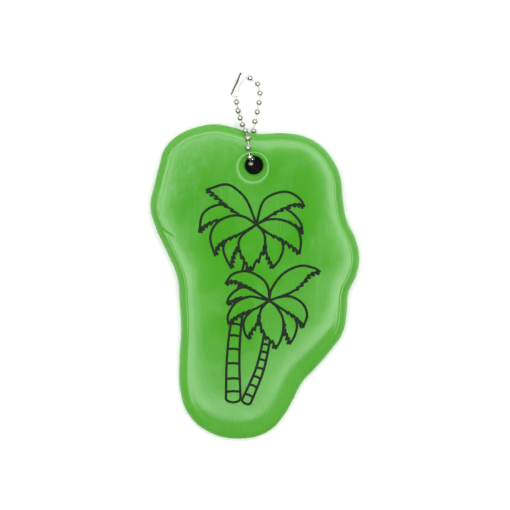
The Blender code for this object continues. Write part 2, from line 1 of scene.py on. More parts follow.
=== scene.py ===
"""Palm tree key float, dressed for its picture: a vinyl-dipped foam float with two line-drawn palms
on its face, lying on its back, on a loop of nickel-plated ball chain. Units are metres."""
import json
import math
import bmesh
import bpy
import numpy as np
from mathutils import Matrix, Vector, kdtree, noise
from mathutils.bvhtree import BVHTree
from mathutils.geometry import delaunay_2d_cdt


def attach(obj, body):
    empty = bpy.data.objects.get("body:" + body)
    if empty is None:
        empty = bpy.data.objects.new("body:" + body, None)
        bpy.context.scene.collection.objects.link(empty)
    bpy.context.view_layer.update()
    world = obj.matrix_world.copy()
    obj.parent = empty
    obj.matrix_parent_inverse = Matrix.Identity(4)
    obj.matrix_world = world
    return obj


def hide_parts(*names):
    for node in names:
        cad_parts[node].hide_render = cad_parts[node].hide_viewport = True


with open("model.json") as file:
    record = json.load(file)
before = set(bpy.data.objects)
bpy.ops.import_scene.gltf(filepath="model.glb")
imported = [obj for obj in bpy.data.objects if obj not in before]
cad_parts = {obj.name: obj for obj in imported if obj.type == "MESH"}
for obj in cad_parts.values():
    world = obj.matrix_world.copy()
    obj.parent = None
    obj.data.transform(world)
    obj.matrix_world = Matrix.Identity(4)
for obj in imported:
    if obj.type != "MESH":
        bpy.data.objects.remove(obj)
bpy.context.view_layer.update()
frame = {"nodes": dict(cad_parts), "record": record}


# The table, the light and the camera
# The key float lies on a wide white table under a round softbox that is dim in its middle, where
# the camera looks through it, with a little light from all round.

MM = 0.001
PICTURE_WIDTH = 214.2 * MM
LENS = 500.0
SENSOR = 36.0
TABLE_HALF_WIDTH = 1.5
TABLE_WHITE = (0.94, 0.94, 0.94, 1.0)
TABLE_GLOW = 0.15
TABLE_ROUGHNESS = 0.9
CAMERA_AIM = (0.07 * MM, 0.23 * MM)
# The painted shade under the float's hole: its middle, its outer and inner edge, and its colour
HOLE_PLACE = (-0.35 * MM, 37.9 * MM, 0.0)
PAINTED_SHADE_EDGE = (9 * MM, 6 * MM)
HOLE_PAINTED_SHADE = (0.003, 0.004, 0.003, 1.0)

scene = bpy.context.scene
scene.view_settings.view_transform = "Standard"


class Shade:
    """A value on its way through a material, so that sums on it can be written plainly."""

    def __init__(self, tree, socket=None):
        self.tree = tree
        self.socket = socket

    def node(self, kind, settings, sockets, out=0):
        made = self.tree.nodes.new("ShaderNode" + kind)
        for name, value in settings.items():
            if name == "stops":
                stops = made.color_ramp.elements
                while len(stops) < len(value):
                    stops.new(1.0)
                for stop, (place, level) in zip(stops, value):
                    stop.position = place
                    stop.color = (level, level, level, 1.0)
            else:
                setattr(made, name, value)
        for key, value in sockets.items():
            if isinstance(value, Shade):
                self.tree.links.new(value.socket, made.inputs[key])
            else:
                made.inputs[key].default_value = value
        return Shade(self.tree, made.outputs[out])

    def sum(self, operation, first, second):
        return self.node("Math", {"operation": operation}, {0: first, 1: second})

    def __add__(self, other):
        return self.sum("ADD", self, other)

    __radd__ = __add__

    def __sub__(self, other):
        return self.sum("SUBTRACT", self, other)

    def __rsub__(self, other):
        return self.sum("SUBTRACT", other, self)

    def __mul__(self, other):
        return self.sum("MULTIPLY", self, other)

    __rmul__ = __mul__

    def ramp(self, start, end, low=0.0, high=1.0):
        """A smooth step from low to high as this value goes from start to end."""
        settings = {"interpolation_type": "SMOOTHSTEP"}
        return self.node("MapRange", settings, {0: self, 1: start, 2: end, 3: low, 4: high})

    def blend(self, first, second):
        """The mix of two colours, by this value."""
        return self.node("Mix", {"data_type": "RGBA"}, {0: self, 6: first, 7: second}, out=2)

    def vector(self, operation, other, out="Value"):
        """A vector sum of this value and another."""
        return self.node("VectorMath", {"operation": operation}, {0: self, 1: other}, out=out)

    def place(self):
        """Where each point of the piece lies at rest."""
        return self.node("TexCoord", {}, {}, out="Object")

    def stretched(self, scale, turn=0.0):
        """These places, turned about Z and scaled along each axis."""
        return self.node("Mapping", {}, {"Vector": self, "Rotation": (0.0, 0.0, turn), "Scale": scale})

    def grain(self, scale, detail=2.0, distortion=0.0):
        """Noise over these places."""
        sockets = {"Vector": self, "Scale": scale, "Detail": detail, "Distortion": distortion}
        return self.node("TexNoise", {}, sockets)

    def into(self, socket):
        self.tree.links.new(self.socket, socket)


RING_GLOW = 6.0
# The ring's brightness by the cosine of the angle from straight up
RING_STOPS = (
    (0.0, 0.0), (0.895, 0.0), (0.912, 1.0), (0.955, 1.0), (0.975, 0.7), (0.9925, 0.04), (1.0, 0.0),
)
# The room's glow from low down to straight up, and how much more of it comes from the far side
ROOM_STOPS = ((0.0, 0.50), (0.35, 0.60), (0.7, 0.28), (0.88, 0.22), (0.97, 0.0), (1.0, 0.0))
FAR_SIDE = 0.8

world = bpy.data.worlds.new("softbox_room")
scene.world = world
world.use_nodes = True
air = Shade(world.node_tree)
direction = air.node("TexCoord", {}, {}, out="Generated")
upward = air.node("SeparateXYZ", {}, {0: direction}, out="Z")
far = air.node("SeparateXYZ", {}, {0: direction}, out="Y")
ring = air.node("ValToRGB", {"stops": RING_STOPS}, {0: upward})
room = air.node("ValToRGB", {"stops": ROOM_STOPS}, {0: upward})
glow = ring * RING_GLOW + room * (far * FAR_SIDE + 1.0)
glow.into(world.node_tree.nodes["Background"].inputs["Color"])


def new_material(name):
    """A material with its shader and a Shade to write its values with."""
    made = bpy.data.materials.new(name)
    made.use_nodes = True
    return made, made.node_tree.nodes["Principled BSDF"], Shade(made.node_tree)


def make_piece(name, mesh, looks):
    made = bpy.data.objects.new(name, mesh)
    scene.collection.objects.link(made)
    mesh.materials.clear()
    mesh.materials.append(looks)
    return made


def mesh_of(bm, name):
    mesh = bpy.data.meshes.new(name)
    bm.to_mesh(mesh)
    bm.free()
    return mesh


# The bit of table that shows through the float's hole is painted dark as shade
table_white, table_shader, cloth = new_material("table_white")
from_hole = cloth.place().vector("DISTANCE", HOLE_PLACE)
table_colour_with_painted_shade = from_hole.ramp(*PAINTED_SHADE_EDGE).blend(TABLE_WHITE, HOLE_PAINTED_SHADE)
table_colour_with_painted_shade.into(table_shader.inputs["Base Color"])
table_colour_with_painted_shade.into(table_shader.inputs["Emission Color"])
table_shader.inputs["Emission Strength"].default_value = TABLE_GLOW
table_shader.inputs["Roughness"].default_value = TABLE_ROUGHNESS
bm = bmesh.new()
bmesh.ops.create_grid(bm, x_segments=1, y_segments=1, size=TABLE_HALF_WIDTH)
table = make_piece("table", mesh_of(bm, "table"), table_white)

camera_data = bpy.data.cameras.new("camera")
camera_data.lens = LENS
camera_data.sensor_width = SENSOR
camera = bpy.data.objects.new("camera", camera_data)
camera.location = (*CAMERA_AIM, PICTURE_WIDTH * LENS / SENSOR)
scene.collection.objects.link(camera)
scene.camera = camera


# Foam float
# One piece of closed-cell foam, cut out and dipped in green vinyl, so every edge is round and the
# skin has runs, soft dents and a fine peel. The hole for the chain shows the dark foam inside,
# painted near black as shade.

FLOAT_THICKNESS = 9.5 * MM
EDGE_ROUND = 0.48 * FLOAT_THICKNESS
HOLE_RADIUS = 3.5 * MM
RIM_ROUND = 3.5 * MM
# How far the rim's flare turns, and how far its cutter goes on past it, in shares of the rounding
FLARE_TURN = math.radians(84)
FLARE_SKIRT = (3, 0.4)
# The steps round a corner of the float, its rounded outline, the rim's flare and the hole
CORNER_ROUND_STEPS = 12
OUTLINE_STEPS = 24
FLARE_STEPS = 12
HOLE_STEPS = 64
# The outline in mm from the hole's centre, clockwise from the top of the left lobe
FLOAT_OUTLINE = (
    (-15.9, 17.2), (-8.4, 15.8), (0.4, 13.3), (12.6, 13.5), (20.6, 12.2), (27.3, 8.8),
    (33.2, 2.0), (36.4, -5.6), (37.3, -14.7), (39.1, -23.6), (42.5, -30.6), (44.2, -38.8),
    (42.7, -46.8), (39.7, -53.2), (38.9, -62.0), (37.4, -70.0), (32.5, -77.2), (26.2, -84.6),
    (20.1, -91.2), (16.7, -97.6), (12.8, -104.6), (5.9, -111.7), (-5.7, -114.7), (-19.4, -111.7),
    (-27.6, -104.2), (-30.9, -95.0), (-31.4, -82.6), (-30.7, -69.2), (-31.3, -56.7),
    (-32.3, -46.8), (-36.4, -36.8), (-41.0, -26.8), (-43.5, -17.2), (-41.8, -8.2),
    (-39.7, 0.0), (-37.5, 6.9), (-32.1, 12.4), (-24.4, 15.9),
)
# The float rests on the chain under its hole, so it is tilted about its far edge
TILT = math.radians(1.26655)
HOLE_MIDDLE = Vector((-0.35, 37.886, 7.191)) * MM
to_float = Matrix.Translation(HOLE_MIDDLE) @ Matrix.Rotation(TILT, 4, "X")
SKIN_GRAIN = 0.5 * MM
SMOOTH_PASSES = 5
CROWN = 0.6 * MM
CROWN_CENTRE = Vector((0.0, -52.0)) * MM
CROWN_REACH = 52.0 * MM
SHOULDER_SLOPE = 0.115
SHOULDER_REACH = 5.0 * MM
# Where the shoulder is wider or narrower: a place in mm, its size in mm, and the share
SHOULDER_LOBES = (
    ((-28.0, -2.0), 20.0, 1.1), ((-8.0, -104.0), 20.0, 0.7), ((26.0, -72.0), 14.0, 0.5),
    ((38.0, -20.0), 18.0, -0.2), ((-32.0, -66.0), 16.0, -0.3), ((22.0, 8.0), 12.0, -0.3),
)
# Where the edge falls away more softly than elsewhere: a place in mm, its size in mm, and the slope
SOFT_LOBES = (((-6.0, -114.0), 26.0, 0.24), ((24.0, -86.0), 24.0, 0.22))
SOFT_START = 0.5 * EDGE_ROUND
SOFT_REACH = 0.42 * EDGE_ROUND
# The slow dents of the face: their depth, their width, and that width as a share of their length
DENT_DEPTH = 0.07 * MM
DENT_SIZE = 11 * MM
DENT_STRETCH = 0.6
# On the face the rim's flare reaches further towards the lower left
DISH_SHIFT = Vector((-0.85, -1.2)) * MM
# The crease's two ends, its depth and its width
CREASE = (Vector((-39.5, -26.5)) * MM, Vector((-34.2, -30.0)) * MM, 0.3 * MM, 0.5 * MM)
# A small nub on the edge: its middle, its size, and how far it stands out
NUB = (Vector((17.6, -98.4, -0.5)) * MM, 1.1 * MM, 1.0 * MM)


def taken(item):
    """The finished mesh of an object, which itself is dropped."""
    bpy.context.view_layer.update()
    shown = item.evaluated_get(bpy.context.evaluated_depsgraph_get())
    mesh = bpy.data.meshes.new_from_object(shown)
    bpy.data.objects.remove(item)
    return mesh


def slab(outline, half_depth, edge_round, steps):
    """A filled outline with depth and rounded edges, as an object that is still a curve."""
    curve = bpy.data.curves.new("slab", "CURVE")
    curve.dimensions = "2D"
    curve.fill_mode = "BOTH"
    spline = curve.splines.new("BEZIER")
    spline.bezier_points.add(len(outline) - 1)
    for point, (x, y) in zip(spline.bezier_points, outline):
        point.co = (x * MM, y * MM, 0.0)
        point.handle_left_type = point.handle_right_type = "AUTO"
    spline.use_cyclic_u = True
    curve.resolution_u = steps
    curve.extrude = half_depth - edge_round
    curve.bevel_depth = edge_round
    curve.bevel_resolution = steps
    curve.offset = -edge_round
    made = bpy.data.objects.new("slab", curve)
    scene.collection.objects.link(made)
    return made


def spun(profile, steps, name):
    """A profile of (radius, height) points turned about Z, welded and facing outwards."""
    bm = bmesh.new()
    verts = [bm.verts.new((radius, 0.0, height)) for radius, height in profile]
    edges = [bm.edges.new(pair) for pair in zip(verts, verts[1:])]
    bmesh.ops.spin(
        bm, geom=verts + edges, cent=(0, 0, 0), axis=(0, 0, 1), angle=math.tau, steps=steps,
        use_merge=True,
    )
    bmesh.ops.remove_doubles(bm, verts=bm.verts, dist=1e-7)
    bmesh.ops.recalc_face_normals(bm, faces=bm.faces)
    return mesh_of(bm, name)


def hole_profile():
    """Half of a spool that flares at both ends, so that it leaves the hole a round rim."""
    flare = []
    for step in range(FLARE_STEPS + 1):
        angle = FLARE_TURN * (1 - step / FLARE_STEPS)
        radius = HOLE_RADIUS + RIM_ROUND * (1 - math.cos(angle))
        flare.append((radius, FLOAT_THICKNESS / 2 - RIM_ROUND * (1 - math.sin(angle))))
    top = (flare[0][0] + RIM_ROUND * FLARE_SKIRT[0], flare[0][1] + RIM_ROUND * FLARE_SKIRT[1])
    side = [top] + flare
    lower = [(radius, -height) for radius, height in reversed(side)]
    return [(0.0, top[1])] + side + lower + [(0.0, -top[1])]


blank_mesh = taken(slab(FLOAT_OUTLINE, FLOAT_THICKNESS / 2, EDGE_ROUND, CORNER_ROUND_STEPS))
solid_blank = make_piece("solid_blank", blank_mesh, table_white)
weld = solid_blank.modifiers.new("weld", "WELD")
weld.merge_threshold = 1e-6
spool = make_piece("spool", spun(hole_profile(), HOLE_STEPS, "spool"), table_white)
for vert in spool.data.vertices:
    flared = (math.hypot(vert.co.x, vert.co.y) - HOLE_RADIUS) / RIM_ROUND
    if vert.co.z > 0 and flared > 0:
        vert.co.xy += DISH_SHIFT * min(flared, 1.0)
cut = solid_blank.modifiers.new("hole", "BOOLEAN")
cut.operation = "DIFFERENCE"
cut.solver = "EXACT"
cut.object = spool
skin = solid_blank.modifiers.new("skin", "REMESH")
skin.mode = "VOXEL"
skin.voxel_size = SKIN_GRAIN
float_mesh = taken(solid_blank)
bpy.data.objects.remove(spool)

bm = bmesh.new()
bm.from_mesh(float_mesh)
for _ in range(SMOOTH_PASSES):
    bmesh.ops.smooth_vert(
        bm, verts=bm.verts, factor=0.5, use_axis_x=True, use_axis_y=True, use_axis_z=True
    )
bm.to_mesh(float_mesh)
bm.free()

rim_mesh = taken(slab(FLOAT_OUTLINE, EDGE_ROUND, 0.0, OUTLINE_STEPS))
rim_points = [v.co.copy() for v in rim_mesh.vertices]
silhouette = kdtree.KDTree(len(rim_points))
for index, point in enumerate(rim_points):
    silhouette.insert((point.x, point.y, 0.0), index)
silhouette.balance()


def weight(lobes, x, y):
    """How strongly a place belongs to some soft round lobes of the outline."""
    total = 0.0
    for centre, size, share in lobes:
        total += share * math.exp(-((Vector((x, y)) / MM - Vector(centre)).length / size) ** 2)
    return total


def float_relief(x, y, inside):
    """How far the face stands above flat: a low crown, a soft shoulder and slow dents."""
    out = (Vector((x, y)) - CROWN_CENTRE).length / CROWN_REACH
    crown = CROWN * (1 - out * out)
    reach = SHOULDER_REACH * (1 + weight(SHOULDER_LOBES, x, y))
    shoulder = SHOULDER_SLOPE * reach * math.exp(-max(0.0, inside - EDGE_ROUND) / reach)
    past = max(0.0, inside - SOFT_START)
    soft = weight(SOFT_LOBES, x, y) * math.e * (past + SOFT_REACH) * math.exp(-past / SOFT_REACH)
    slow = noise.noise(Vector((x, y * DENT_STRETCH, 0.0)) / DENT_SIZE) * DENT_DEPTH
    return crown - shoulder - soft + slow


def crease_depth(x, y):
    """A short crease across the left edge."""
    start, end, depth, width = CREASE
    along = end - start
    share = min(max((Vector((x, y)) - start).dot(along) / along.length_squared, 0.0), 1.0)
    return depth * math.exp(-((Vector((x, y)) - start - along * share).length / width) ** 2)


edge_reach = float_mesh.attributes.new("edge_reach", "FLOAT", "POINT")
hole_reach = float_mesh.attributes.new("hole_reach", "FLOAT", "POINT")
outward = [vert.normal.copy() for vert in float_mesh.vertices]
nub_middle, nub_size, nub_height = NUB
for vert, normal in zip(float_mesh.vertices, outward):
    x, y, z = vert.co
    inside = silhouette.find((x, y, 0.0))[2]
    edge_reach.data[vert.index].value = inside / MM
    hole_reach.data[vert.index].value = math.hypot(x, y) / MM
    if z > 0:
        vert.co.z += (float_relief(x, y, inside) - crease_depth(x, y)) * z / (FLOAT_THICKNESS / 2)
    from_nub = (Vector((x, y, z)) - nub_middle).length
    vert.co += normal * nub_height * math.exp(-(from_nub / nub_size) ** 4)
float_mesh.transform(to_float)
float_mesh.shade_smooth()

LEAF_GREEN = (0.060, 0.350, 0.014, 1.0)
PALE_GREEN = (0.105, 0.420, 0.045, 1.0)
DARK_FOAM_AND_PAINTED_SHADE = (0.002, 0.003, 0.002, 1.0)
# The green is paler in clouds, and paler again as a painted sheen from some mm inside the edge
# outwards
CLOUD_STEP = (0.35, 0.75)
CLOUD_PALING = 0.35
PAINTED_SHEEN_RIM = (22.0, 3.0)
RIM_PAINTED_SHEEN = 0.65
# The skin gives way to the dark foam, painted near black as shade in the hole, between these
# distances from the hole's middle, in mm
LINING_EDGE = (4.1, 3.7)
# How fine the skin's noises are, by axis where they are stretched
CLOUD_SCALE = 70.0
WAVE_SCALE = 190.0
PEEL_SCALE = 520.0
PATCH_SCALE = 60.0
RUN_SCALE = (1400.0, 80.0, 400.0)
SCRATCH_SCALE = (2100.0, 110.0, 200.0)
SCRATCH_TURN = math.radians(24)
# Scratches lie only inside the scuffed patches, and dull patches are a little wider
SCRATCH_STEP = (0.60, 0.72)
SCUFF_STEP = (0.47, 0.60)
DULL_STEP = (0.42, 0.58)
# The skin is rougher and has more peel towards its foot
FOOT_STEP = (-20 * MM, -60 * MM)
SKIN_ROUGHNESS = 0.05
RUN_ROUGHNESS = 0.10
PATCH_ROUGHNESS = 0.07
SCUFF_ROUGHNESS = 0.11
FOOT_ROUGHNESS = 0.10
SKIN_SHINE = 0.42
RUN_HEIGHT = 0.014 * MM
PEEL_HEIGHT = 0.006 * MM
FOOT_PEEL = 0.035 * MM
WAVE_HEIGHT = 0.06 * MM
CLOUD_HEIGHT = 0.1 * MM
# A low ridge runs inside the edge: where it rises and where it falls again, in mm, and its height
RIDGE_RISE = (1.6, 2.3)
RIDGE_FALL = (3.2, 2.6)
RIDGE_HEIGHT = 0.1 * MM

vinyl, vinyl_shader, skin_shade = new_material("dipped_vinyl")
place = skin_shade.place()
reach = skin_shade.node("Attribute", {"attribute_name": "edge_reach"}, {}, out="Fac")
bore = skin_shade.node("Attribute", {"attribute_name": "hole_reach"}, {}, out="Fac")
clouds = place.grain(CLOUD_SCALE, detail=3.0)
waves = place.grain(WAVE_SCALE, detail=3.0)
peel = place.grain(PEEL_SCALE)
patches = place.grain(PATCH_SCALE, detail=6.0, distortion=0.6)
runs = place.stretched(RUN_SCALE).grain(1.0)
scratches = place.stretched(SCRATCH_SCALE, SCRATCH_TURN).grain(1.0, detail=1.0)
foot_side = skin_shade.node("SeparateXYZ", {}, {0: place}, out="Y").ramp(*FOOT_STEP)

# Painted sheen: the green pales from some mm inside the edge outwards
paling_and_painted_sheen = clouds.ramp(*CLOUD_STEP) * CLOUD_PALING + reach.ramp(*PAINTED_SHEEN_RIM) * RIM_PAINTED_SHEEN
green = paling_and_painted_sheen.blend(LEAF_GREEN, PALE_GREEN)
# Painted shade: the hole's dark foam lining goes near black
bore.ramp(*LINING_EDGE).blend(green, DARK_FOAM_AND_PAINTED_SHADE).into(vinyl_shader.inputs["Base Color"])

scuffed = scratches.ramp(*SCRATCH_STEP) * patches.ramp(*SCUFF_STEP)
dull = patches.ramp(*DULL_STEP) * PATCH_ROUGHNESS + scuffed * SCUFF_ROUGHNESS
roughness = runs * RUN_ROUGHNESS + dull + foot_side * FOOT_ROUGHNESS + SKIN_ROUGHNESS
roughness.into(vinyl_shader.inputs["Roughness"])
vinyl_shader.inputs["Specular IOR Level"].default_value = SKIN_SHINE

ridge = reach.ramp(*RIDGE_RISE) * reach.ramp(*RIDGE_FALL) * (1 - foot_side)
height = runs * RUN_HEIGHT + peel * (foot_side * FOOT_PEEL + PEEL_HEIGHT) + waves * WAVE_HEIGHT
height = height + clouds * CLOUD_HEIGHT + ridge * RIDGE_HEIGHT
skin_shade.node("Bump", {}, {"Height": height, "Distance": 1.0}).into(vinyl_shader.inputs["Normal"])

foam_float = make_piece("vinyl_float", float_mesh, vinyl)
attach(foam_float, "float")
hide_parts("foam_float")


# Palm print
# Two palms in outline, the front one over the rear one, screen-printed on the face in one film of
# dark ink, which follows the skin's dents.

INK_WIDTH = 1.04 * MM
INK_FILM = 0.05 * MM
TOOTH_DEPTH = 1.3 * MM
# Teeth grow towards the tip: the share of the depth that they start from, and what they gain
FIRST_TOOTH = 0.45
TOOTH_GROWTH = 0.75
# The share of an edge without teeth at the crown, on most fronds and on the middle one, and the
# room left at the tip, in teeth
TEETH_START = 0.22
MIDDLE_TEETH_START = 0.4
TIP_SPACE = 0.4
# A tooth's corners: how far along its share of the edge, and how deep in shares of the depth
TOOTH_SHAPE = ((0.5, -0.15), (1.05, 0.6), (0.95, -0.45))
CURVE_STEPS = 22
CORNER_STEPS = 8
TRUNK_STEPS = 10
TRUNK_FOOT_STEPS = 6
FOOT_BULGE = 0.55
RING_BEND = 0.25 * MM
RAY_HEIGHT = 20 * MM
REAR_CROWN = Vector((1.0, -24.8)) * MM
FRONT_CROWN = Vector((6.4, -56.6)) * MM
# Each frond, from back to front: its tip, its arched back out from the crown, its toothed edge in
# from the tip, in mm from the crown, and its teeth
REAR_FRONDS = (
    ((-23.9, -3.1), ((-10.8, 7.0), (-16.2, 8.2), (-22.3, 4.6)),
     ((-21.6, -0.9), (-17.6, 1.2), (-9.0, 3.0)), 6),
    ((19.3, -3.8), ((8.7, 7.0), (13.9, 5.6), (18.4, 0.8)),
     ((16.8, -1.0), (11.8, 1.3), (6.0, 1.6)), 6),
    ((-20.8, 14.6), ((-3.4, 8.9), (-7.0, 13.6), (-12.6, 16.8)),
     ((-16.3, 10.8), (-10.0, 5.8)), 6),
    ((20.0, 7.7), ((2.6, 9.2), (7.4, 12.8), (13.2, 13.6), (18.0, 10.9)),
     ((15.4, 8.0), (7.6, 4.6)), 6),
    ((-10.5, -18.2), ((-10.8, -4.6), (-13.8, -9.6), (-12.6, -14.4)),
     ((-9.7, -13.9), (-7.5, -9.2)), 5),
    ((6.8, -18.2), ((8.7, -4.4), (11.2, -9.2), (9.8, -14.3)),
     ((5.4, -15.4), (3.9, -11.8), (3.3, -7.4)), 5),
    ((-17.3, -12.9), ((-5.0, 3.2), (-10.8, 3.6), (-16.8, 0.4), (-19.3, -5.5)),
     ((-15.6, -8.9), (-11.8, -6.2), (-6.6, -3.8)), 6),
    ((18.1, -12.1), ((4.5, 2.0), (10.8, 1.9), (16.8, -1.3), (18.6, -6.5)),
     ((14.8, -9.6), (10.5, -6.5), (5.3, -3.9)), 6),
)
FRONT_FRONDS = (
    ((-17.6, -1.1), ((-7.7, 4.6), (-11.2, 5.5), (-14.7, 3.7), (-17.0, 1.1)),
     ((-15.4, -0.5), (-12.6, 0.9), (-6.0, 1.2)), 6),
    ((-18.3, 7.2), ((-0.5, 5.3), (-3.1, 9.2), (-9.1, 12.2), (-15.2, 11.1)),
     ((-14.7, 7.8), (-10.5, 6.2), (-6.0, 3.9)), 6),
    ((21.1, 12.2), ((1.0, 4.9), (5.8, 11.2), (12.8, 14.5), (18.4, 13.7)),
     ((17.0, 10.4), (14.2, 7.2), (9.6, 3.6)), 6),
    ((-8.7, -15.9), ((-7.3, -4.2), (-10.6, -8.6), (-10.3, -13.4)),
     ((-7.4, -13.2), (-5.0, -9.9), (-4.0, -6.4)), 5),
    ((8.6, -18.1), ((9.1, -5.6), (11.5, -9.8), (10.7, -14.5)),
     ((7.4, -15.4), (6.3, -12.2), (5.6, -8.0)), 5),
    ((-17.1, -9.9), ((-3.8, 0.9), (-8.4, 1.6), (-14.0, -0.9), (-17.2, -6.0)),
     ((-14.6, -7.8), (-11.2, -5.6), (-6.0, -3.6)), 6),
    ((14.2, -11.1), ((4.4, 1.4), (9.3, 1.6), (14.0, -1.4), (15.8, -6.1)),
     ((12.9, -9.4), (10.3, -6.8), (6.0, -4.0)), 6),
    ((2.7, -20.1), ((3.0, -2.6), (5.5, -7.0), (5.8, -12.2), (4.7, -16.6)),
     ((1.0, -17.4), (-1.7, -15.0), (-3.8, -10.5), (-4.2, -6.5), (-3.0, -3.0)), 6),
)
# The rear palm's middle frond faces the viewer, and both its edges are toothed
REAR_MIDDLE = (
    (-3.0, -19.4), ((-5.2, -15.2), (-7.4, -10.2), (-6.4, -5.0)),
    ((1.5, -13.9), (3.7, -8.1), (2.9, -3.3)), 4,
)
# Each trunk: points of its middle line, its widths at the crown and at the foot, and the heights of
# its rings, all in mm from the hole
REAR_TRUNK = (
    ((1.0, -24.8), (-2.7, -42.0), (-7.0, -63.0), (-8.7, -80.0), (-8.7, -97.6)), 2.4, 6.1,
    (-66.6, -71.4, -77.0, -83.0, -89.4, -94.8),
)
FRONT_TRUNK = (
    ((6.4, -56.6), (5.9, -67.0), (4.7, -76.0), (2.4, -85.5), (-0.6, -93.0), (-3.2, -98.8)), 2.3, 3.9,
    (-75.1, -78.3, -81.6, -85.1, -88.8, -92.4, -96.4),
)


def through(points, steps):
    """Points on one smooth curve through the given ones."""
    ends = [points[0] * 2 - points[1], *points, points[-1] * 2 - points[-2]]
    line = [points[0]]
    for before, start, end, after in zip(ends, ends[1:], ends[2:], ends[3:]):
        for step in range(1, steps + 1):
            t = step / steps
            second = (2 * before - 5 * start + 4 * end - after) * t
            third = (3 * (start - end) + after - before) * t * t
            line.append(start + ((end - before) + (second + third)) * (t / 2))
    return line


def beside(line, index):
    """The unit normal to the left of a line at one of its points."""
    along = line[min(index + 1, len(line) - 1)] - line[max(index - 1, 0)]
    return Vector((-along.y, along.x)).normalized()


def along_of(line, index):
    """The unit direction of a line at one of its points."""
    normal = beside(line, index % len(line))
    return Vector((normal.y, -normal.x))


def toothed(line, side, teeth, begin):
    """The line cut into teeth that lean towards its end and grow, from a share of its length on."""
    last = len(line) - 1
    cut_line = [point for index, point in enumerate(line[:-1]) if index / last < begin]
    for tooth in range(teeth):
        share = (tooth + 1) / (teeth + 1)
        reach_out = TOOTH_DEPTH * (FIRST_TOOTH + TOOTH_GROWTH * share)
        for lean, depth in TOOTH_SHAPE:
            place_on = begin + (1 - begin) * (tooth + lean) / (teeth + TIP_SPACE)
            index = min(round(place_on * last), last)
            cut_line.append(line[index] + beside(line, index) * (side * reach_out * depth))
    return cut_line


def from_crown(crown, points):
    return [crown + Vector(point) * MM for point in points]


def frond(crown, tip, back, edge, teeth):
    """A leaf's outline: its smooth arched back out to the tip, and its toothed edge home again."""
    back_line = through(from_crown(crown, [(0, 0), *back, tip]), CURVE_STEPS // 3)
    edge_line = through(from_crown(crown, [(0, 0), *edge[::-1], tip]), CURVE_STEPS)
    middle = len(edge_line) // 2
    away = edge_line[middle] - back_line[len(back_line) // 2]
    side = 1.0 if beside(edge_line, middle).dot(away) > 0 else -1.0
    return back_line + toothed(edge_line, side, teeth, TEETH_START)[::-1]


def middle_frond(crown, tip, left, right, teeth):
    """A leaf seen along its length, with teeth down both its edges."""
    edges = []
    for points, side in ((left, -1.0), (right, 1.0)):
        line = through(from_crown(crown, [(0, 0), *points[::-1], tip]), CURVE_STEPS)
        edges.append(toothed(line, side, teeth, MIDDLE_TEETH_START))
    return edges[0] + from_crown(crown, [tip]) + edges[1][:0:-1]


def trunk(points, top_width, foot_width, ring_heights):
    """A trunk's outline with a rounded foot, and its rings."""
    line = through([Vector(point) * MM for point in points], TRUNK_STEPS)
    left, right, rings = [], [], []
    for index, point in enumerate(line):
        share = index / (len(line) - 1)
        half = (top_width + (foot_width - top_width) * share) / 2 * MM
        across = beside(line, index) * half
        left.append(point + across)
        right.append(point - across)
        for ring_y in ring_heights:
            if index and point.y <= ring_y * MM < line[index - 1].y:
                above = line[index - 1]
                middle = above.lerp(point, (ring_y * MM - above.y) / (point.y - above.y))
                raised = middle - along_of(line, index) * RING_BEND
                rings.append([middle + across, raised, middle - across])
    foot = []
    for step in range(1, TRUNK_FOOT_STEPS):
        turn = math.pi * step / TRUNK_FOOT_STEPS
        outwards = (left[-1] - line[-1]) * math.cos(turn)
        downwards = along_of(line, -1) * half * FOOT_BULGE * math.sin(turn)
        foot.append(line[-1] + outwards + downwards)
    return left + foot + right[::-1], rings


def inked(points, closed):
    """The line through the points as quads of ink, with a round of ink at each sharp corner."""
    count = len(points)
    quads = []
    for index in range(count if closed else count - 1):
        start, end = points[index], points[(index + 1) % count]
        if (end - start).length < 1e-7:
            continue
        along = (end - start).normalized()
        across = Vector((-along.y, along.x)) * (INK_WIDTH / 2)
        quads.append([start + across, start - across, end - across, end + across])
    for point in points:
        quads.append([
            point + Vector((math.cos(turn), math.sin(turn))) * (INK_WIDTH / 2)
            for turn in (math.tau * step / CORNER_STEPS for step in range(CORNER_STEPS))
        ])
    return quads


def inside(outline, places):
    """Which of the places lie inside a closed outline."""
    crossings = np.zeros(len(places), int)
    for (x0, y0), (x1, y1) in zip(outline, outline[1:] + outline[:1]):
        if y0 != y1:
            between = (places[:, 1] > min(y0, y1)) & (places[:, 1] <= max(y0, y1))
            crossings += between & (places[:, 0] < x0 + (places[:, 1] - y0) * (x1 - x0) / (y1 - y0))
    return crossings % 2 == 1


def near(line, places):
    """Which of the places lie under a line of ink."""
    found = np.zeros(len(places), bool)
    for start, end in zip(line, line[1:]):
        along = np.array(end - start)
        offset = places - np.array(start)
        share = np.clip(offset @ along / max(along @ along, 1e-18), 0, 1)
        found |= np.hypot(*(offset - share[:, None] * along).T) < INK_WIDTH / 2
    return found


def printed(shapes):
    """The ink that shows of outlined shapes laid over each other, as points and triangles."""
    points, faces = [], []
    for outline, strokes in shapes:
        polygons = inked(outline, True)
        for stroke in strokes:
            polygons += inked(stroke, False)
        for polygon in polygons:
            faces.append(list(range(len(points), len(points) + len(polygon))))
            points.extend(polygon)
    flat, _, triangles, _, _, _ = delaunay_2d_cdt(points, [], faces, 0, 1e-7)
    middles = np.array([tuple(point) for point in flat])[np.array(triangles)].mean(axis=1)
    dark = np.zeros(len(middles), bool)
    for outline, strokes in shapes:
        dark[inside(outline, middles)] = False
        for line in [outline + outline[:1]] + strokes:
            dark |= near(line, middles)
    return flat, [triangle for triangle, shown in zip(triangles, dark) if shown]


def palm(crown, trunk_values, fronds):
    return [trunk(*trunk_values)] + [(frond(crown, *values), []) for values in fronds]


